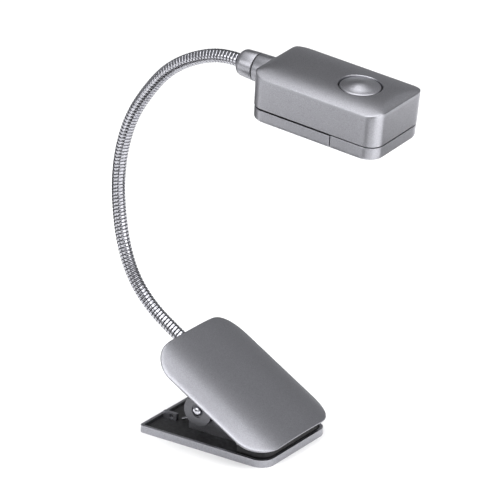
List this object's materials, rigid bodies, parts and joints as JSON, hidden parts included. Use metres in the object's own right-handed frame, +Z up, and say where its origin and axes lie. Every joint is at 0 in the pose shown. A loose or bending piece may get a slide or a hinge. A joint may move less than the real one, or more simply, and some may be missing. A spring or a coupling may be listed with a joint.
{
  "type": "clip on reading lamp",
  "caption": "Clip-on reading lamp: sprung clip with a crowned upper lever, a curved chrome gooseneck and a flat battery lamp head that swivels, with a round power button on top.",
  "frame": {"origin": "centre of the clip's flat underside", "axes": "+X towards the clip's mouth and under the lamp head, +Y across the clip, +Z up"},
  "size_m": [0.1346, 0.056, 0.1648],
  "materials": {
    "silver_shell": "satin metallic-flake paint on moulded ABS",
    "dark_frame": "fine satin texture",
    "grip_rubber": "matte, small raised dots",
    "bright_steel": "polished",
    "spring_steel": "oiled dark wire",
    "chrome_neck": "bright plated wound steel",
    "black_plastic": "fine satin texture",
    "clear_window": "clear, lightly frosted inside",
    "reflector_chrome": "vacuum-plated",
    "emitter_resin": "clear resin over a yellow phosphor",
    "board_green": "solder mask",
    "cream_plastic": "fine satin texture",
    "cell_can": "nickel-plated can, spun finish",
    "contact_metal": "bright"
  },
  "bodies": {
    "base": {"base_tray": "silver_shell", "lower_grip_pad": "grip_rubber", "hinge_pin": "bright_steel", "torsion_spring": "spring_steel"},
    "lever": {"lever_cover": "silver_shell", "lever_frame": "dark_frame", "upper_grip_pad": "grip_rubber", "cover_screws": "bright_steel", "neck_clamp_screw": "spring_steel", "neck_root": "chrome_neck"},
    "neck_1": {"neck_link_1": "chrome_neck"},
    "neck_2": {"neck_link_2": "chrome_neck"},
    "neck_3": {"neck_link_3": "chrome_neck"},
    "neck_4": {"neck_link_4": "chrome_neck"},
    "neck_5": {"neck_link_5": "chrome_neck"},
    "neck_6": {"neck_link_6": "chrome_neck"},
    "neck_7": {"neck_link_7": "chrome_neck"},
    "neck_8": {"neck_link_8": "chrome_neck"},
    "neck_9": {"neck_link_9": "chrome_neck"},
    "neck_10": {"neck_link_10": "chrome_neck"},
    "neck_11": {"neck_link_11": "chrome_neck"},
    "ferrule": {"neck_tip": "chrome_neck", "swivel_ferrule": "silver_shell", "swivel_clip": "bright_steel"},
    "head": {"head_shell": "silver_shell", "front_shell": "silver_shell", "light_window": "clear_window", "reflector": "reflector_chrome", "light_emitter": "emitter_resin", "circuit_board": "board_green", "board_screws": "bright_steel", "tact_switch": "black_plastic", "coin_cells": "cell_can", "cell_holder": "black_plastic", "contact_minus": "contact_metal", "contact_plus": "contact_metal", "shell_screws": "bright_steel", "swivel_washer": "black_plastic"},
    "button": {"power_button": "silver_shell", "switch_plunger": "cream_plastic"},
    "door": {"battery_door": "silver_shell"}
  },
  "joints": [
    {"name": "clip_open", "type": "hinge", "parent": "base", "child": "lever", "pos_m": [-0.0088, 0, 0.0116], "axis": [0, -1, 0], "range_deg": [0, 35], "stiffness_Nm_per_rad": 0.25, "springref_deg": -51.57, "deforming": ["torsion_spring"]},
    {"name": "neck_bend_1", "type": "hinge", "parent": "lever", "child": "neck_1", "pos_m": [-0.0297, 0, 0.03617], "axis": [0, 1, 0], "range_deg": [-20, 20]},
    {"name": "neck_bend_2", "type": "hinge", "parent": "neck_1", "child": "neck_2", "pos_m": [-0.0417, 0, 0.04395], "axis": [-0.6561, 0, -0.7547], "range_deg": [-20, 20]},
    {"name": "neck_bend_3", "type": "hinge", "parent": "neck_2", "child": "neck_3", "pos_m": [-0.05108, 0, 0.05475], "axis": [0, 1, 0], "range_deg": [-20, 20]},
    {"name": "neck_bend_4", "type": "hinge", "parent": "neck_3", "child": "neck_4", "pos_m": [-0.0562, 0, 0.0681], "axis": [-0.9636, 0, -0.2672], "range_deg": [-20, 20]},
    {"name": "neck_bend_5", "type": "hinge", "parent": "neck_4", "child": "neck_5", "pos_m": [-0.05869, 0, 0.08218], "axis": [0, 1, 0], "range_deg": [-20, 20]},
    {"name": "neck_bend_6", "type": "hinge", "parent": "neck_5", "child": "neck_6", "pos_m": [-0.05943, 0, 0.09646], "axis": [-0.9994, 0, 0.0349], "range_deg": [-20, 20]},
    {"name": "neck_bend_7", "type": "hinge", "parent": "neck_6", "child": "neck_7", "pos_m": [-0.05769, 0, 0.11065], "axis": [0, -1, 0], "range_deg": [-20, 20]},
    {"name": "neck_bend_8", "type": "hinge", "parent": "neck_7", "child": "neck_8", "pos_m": [-0.05327, 0, 0.12425], "axis": [0.9063, 0, -0.4226], "range_deg": [-20, 20]},
    {"name": "neck_bend_9", "type": "hinge", "parent": "neck_8", "child": "neck_9", "pos_m": [-0.04569, 0, 0.13638], "axis": [0, -1, 0], "range_deg": [-20, 20]},
    {"name": "neck_bend_10", "type": "hinge", "parent": "neck_9", "child": "neck_10", "pos_m": [-0.0365, 0, 0.14733], "axis": [0.6561, 0, -0.7547], "range_deg": [-20, 20]},
    {"name": "neck_bend_11", "type": "hinge", "parent": "neck_10", "child": "neck_11", "pos_m": [-0.02438, 0, 0.15491], "axis": [0, -1, 0], "range_deg": [-20, 20]},
    {"name": "neck_bend_12", "type": "hinge", "parent": "neck_11", "child": "ferrule", "pos_m": [-0.01074, 0, 0.15924], "axis": [0.1045, 0, -0.9945], "range_deg": [-20, 20]},
    {"name": "head_swivel", "type": "hinge", "parent": "ferrule", "child": "head", "pos_m": [0.00826, 0, 0.15737], "axis": [0.9952, 0, -0.0976], "range_deg": [-90, 90]},
    {"name": "button_press", "type": "slide", "parent": "head", "child": "button", "axis": [-0.0973, 0.0732, -0.9926], "range_m": [0, 0.0008], "stiffness_N_per_m": 600, "springref_m": -0.0006},
    {"name": "door_pull_off", "type": "slide", "parent": "head", "child": "door", "axis": [-0.0973, 0.0732, -0.9926], "range_m": [0, 0.014]}
  ]
}
